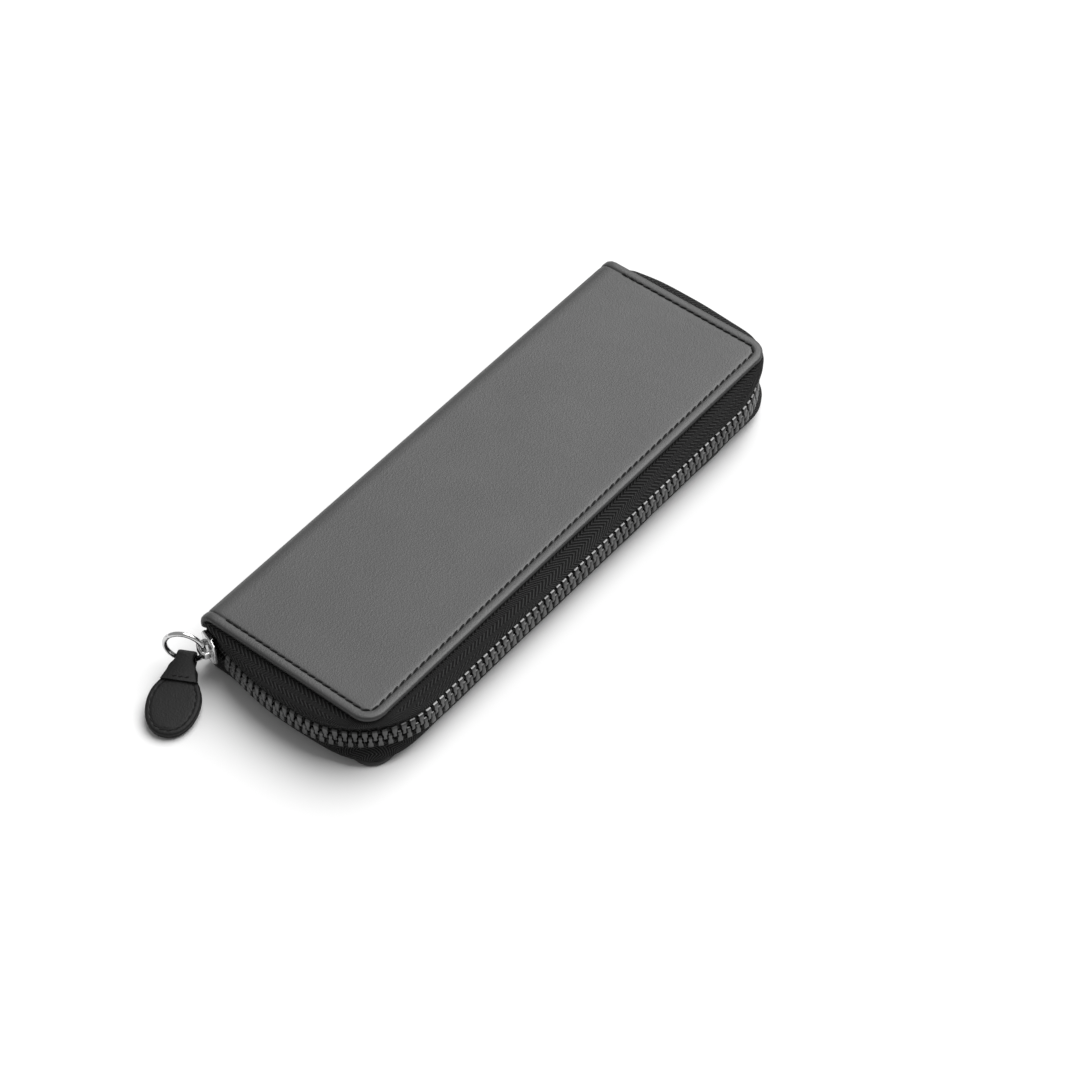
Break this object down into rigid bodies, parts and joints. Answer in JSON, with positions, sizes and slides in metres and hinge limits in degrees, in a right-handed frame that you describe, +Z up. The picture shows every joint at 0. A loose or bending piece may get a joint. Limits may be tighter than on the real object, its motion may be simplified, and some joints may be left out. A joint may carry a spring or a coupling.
{
  "type": "fountain pen case",
  "caption": "Flat zip-round leather case for fountain pens, with a folding spine, a metal zip slider on a ring with a leather pull tab, and elastic pen loops inside.",
  "frame": {"origin": "centre of the bottom cover's flat underside, on the surface that the closed case lies on", "axes": "+Z up through the two covers, +Y along the length away from the slider, +X from the folding spine to the zip's long side"},
  "size_m": [0.0713, 0.2022, 0.021],
  "materials": {
    "cover_leather": "dark grey fine-grained leather, satin, with turned and stitched edges",
    "tab_leather": "near-black smooth leather with a stitched border",
    "stiffener_board": "grey-brown pressed fibre board",
    "lining_cloth": "black brushed lining cloth",
    "zip_tape": "black herringbone woven tape",
    "zip_teeth": "dark gunmetal plated teeth",
    "slider_metal": "polished nickel plate",
    "elastic_band": "black ribbed elastic webbing"
  },
  "bodies": {
    "bottom": {"bottom_cover_leather": "cover_leather", "bottom_stiffener_board": "stiffener_board", "bottom_lining": "lining_cloth", "lower_zip_tape": "zip_tape", "lower_zip_teeth_near": "zip_teeth", "lower_zip_teeth_long": "zip_teeth", "lower_top_stop": "slider_metal", "zip_bottom_stop": "slider_metal", "near_pen_loops": "elastic_band", "far_pen_loops": "elastic_band"},
    "spine": {"spine_leather": "cover_leather", "spine_stiffener_board": "stiffener_board", "spine_lining": "lining_cloth"},
    "top": {"top_cover_leather": "cover_leather", "top_stiffener_board": "stiffener_board", "top_lining": "lining_cloth", "upper_zip_tape": "zip_tape", "upper_zip_teeth_near": "zip_teeth", "upper_zip_teeth_long": "zip_teeth", "upper_top_stop": "slider_metal", "slip_pocket": "lining_cloth", "pocket_binding": "tab_leather"},
    "slider": {"slider_body": "slider_metal", "slider_crown": "slider_metal"},
    "ring": {"pull_ring": "slider_metal"},
    "tab": {"pull_tab": "tab_leather"}
  },
  "joints": [
    {"name": "spine_fold", "type": "hinge", "parent": "bottom", "child": "spine", "pos_m": [-0.03, 0, 0], "axis": [0, -1, 0], "range_deg": [0, 90]},
    {"name": "cover_fold", "type": "hinge", "parent": "spine", "child": "top", "pos_m": [-0.03, 0, 0.021], "axis": [0, -1, 0], "range_deg": [0, 90]},
    {"name": "slider_travel", "type": "hinge", "parent": "bottom", "child": "slider", "pos_m": [0.0035, -0.0055, 0.0105], "axis": [0, 0, 1], "range_deg": [0, 23], "deforming": ["lower_zip_teeth_near", "upper_zip_teeth_near"]},
    {"name": "ring_swing", "type": "hinge", "parent": "slider", "child": "ring", "pos_m": [-0.0265, -0.08791, 0.0105], "axis": [0, 0, 1], "range_deg": [-25, 38]},
    {"name": "tab_swing", "type": "hinge", "parent": "ring", "child": "tab", "pos_m": [-0.03116, -0.09043, 0.0052], "axis": [-0.8796, -0.4756, 0], "range_deg": [-81, 50]}
  ],
  "couplings": [
    {"joint": "cover_fold", "follows": "spine_fold", "ratio": 1}
  ]
}
